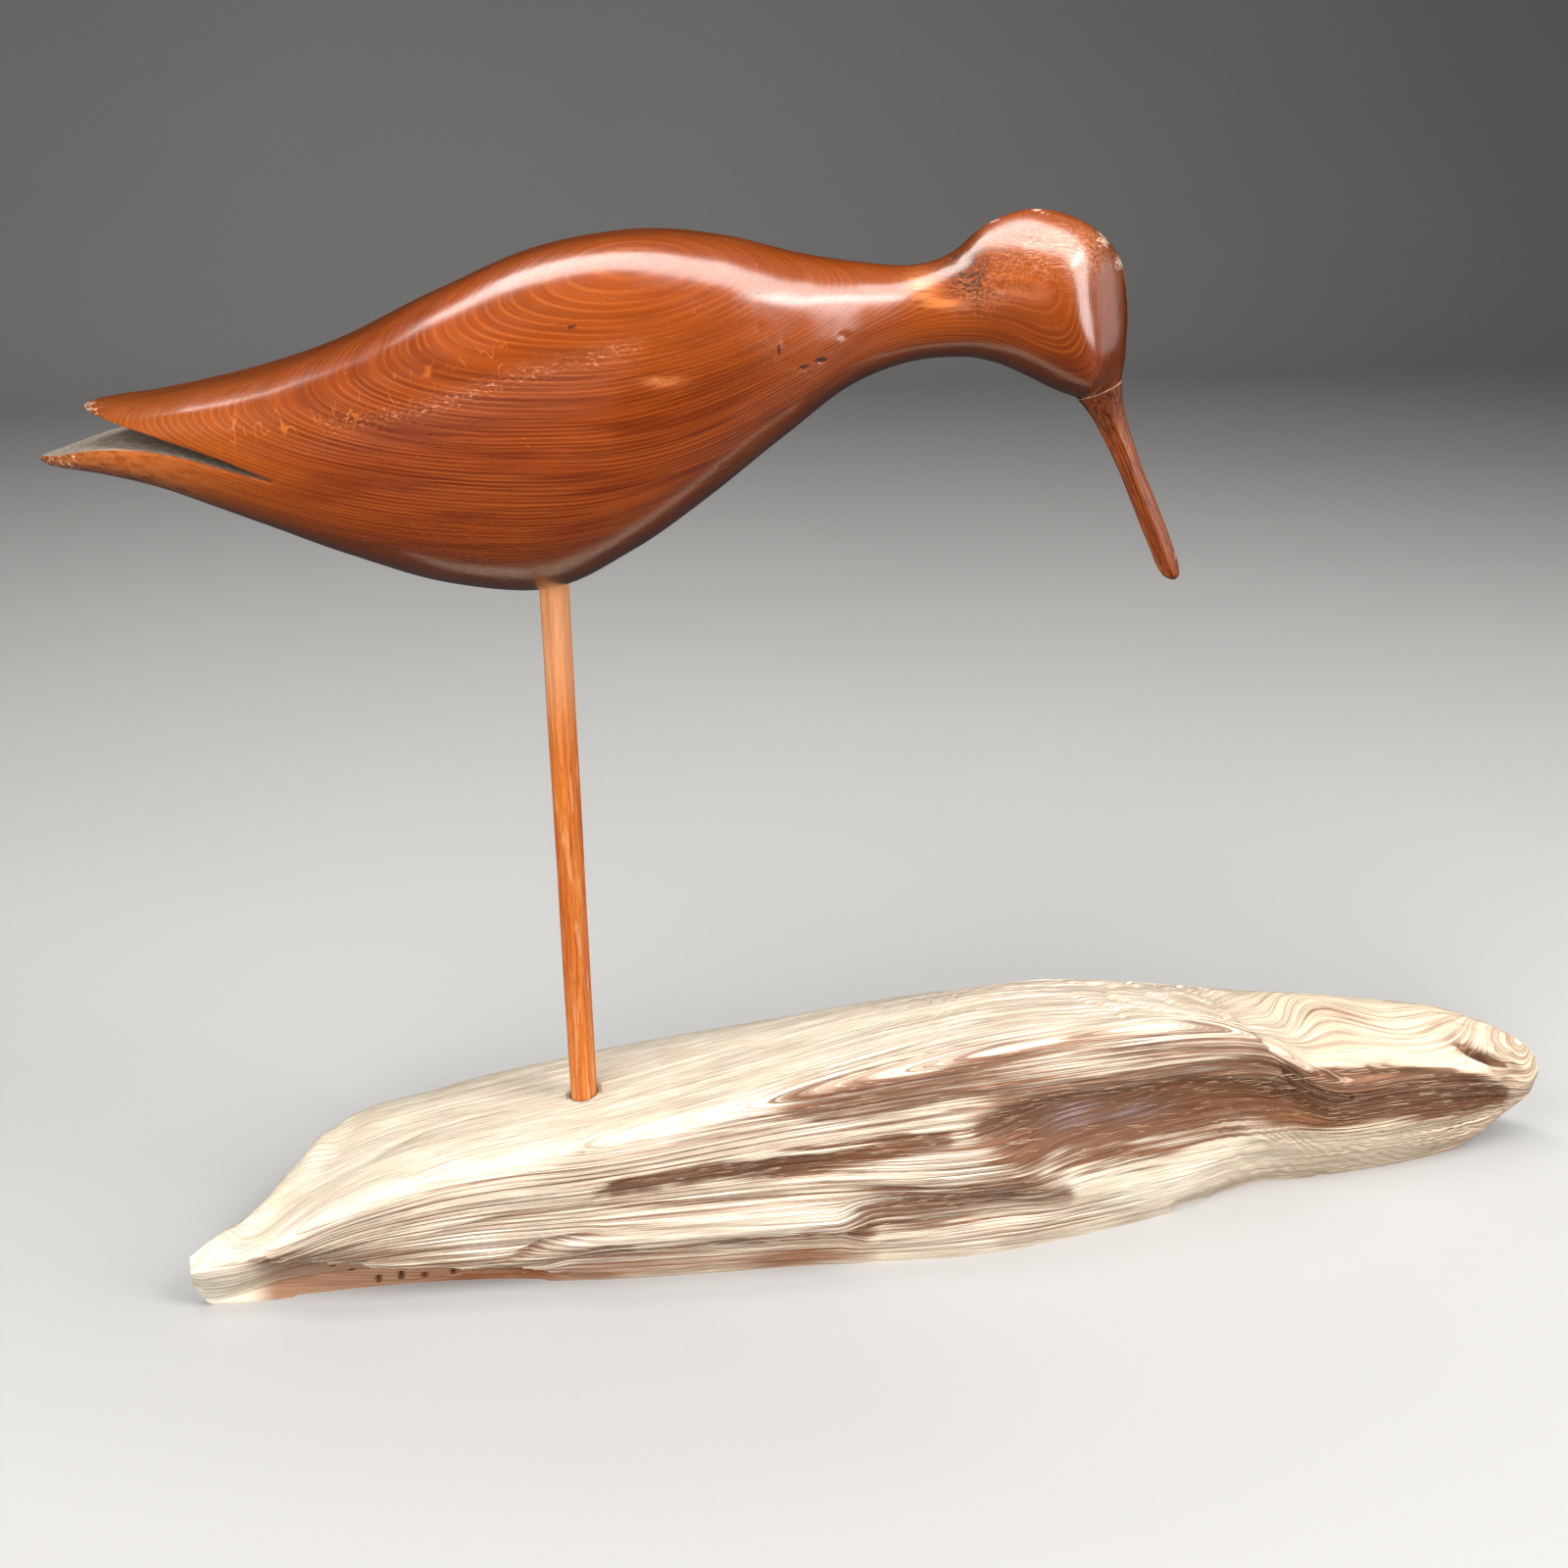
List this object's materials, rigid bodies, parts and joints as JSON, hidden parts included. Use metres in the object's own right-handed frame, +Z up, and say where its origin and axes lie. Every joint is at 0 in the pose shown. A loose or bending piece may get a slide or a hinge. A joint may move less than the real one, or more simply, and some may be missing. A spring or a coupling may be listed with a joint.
{
  "type": "shorebird decoy",
  "caption": "Carved wooden shorebird with a forked tail, a bent-down head and a long bill, on a single leg set in a long piece of driftwood.",
  "frame": {"origin": "middle of the driftwood's flat underside", "axes": "+X along the driftwood towards the end under the bill, +Z up, -Y towards the side with the worn grooves"},
  "size_m": [0.6152, 0.125, 0.4146],
  "materials": {
    "driftwood": "bare, sea-worn, deeply grained",
    "leg": "whittled, worn stain",
    "bird": "mahogany stain under satin varnish, rubbed at the edges",
    "bill": "stained, satin, worn tip"
  },
  "bodies": {
    "root": {"driftwood_base": "driftwood", "leg": "leg", "carved_bird": "bird", "bill": "bill"}
  },
  "joints": []
}
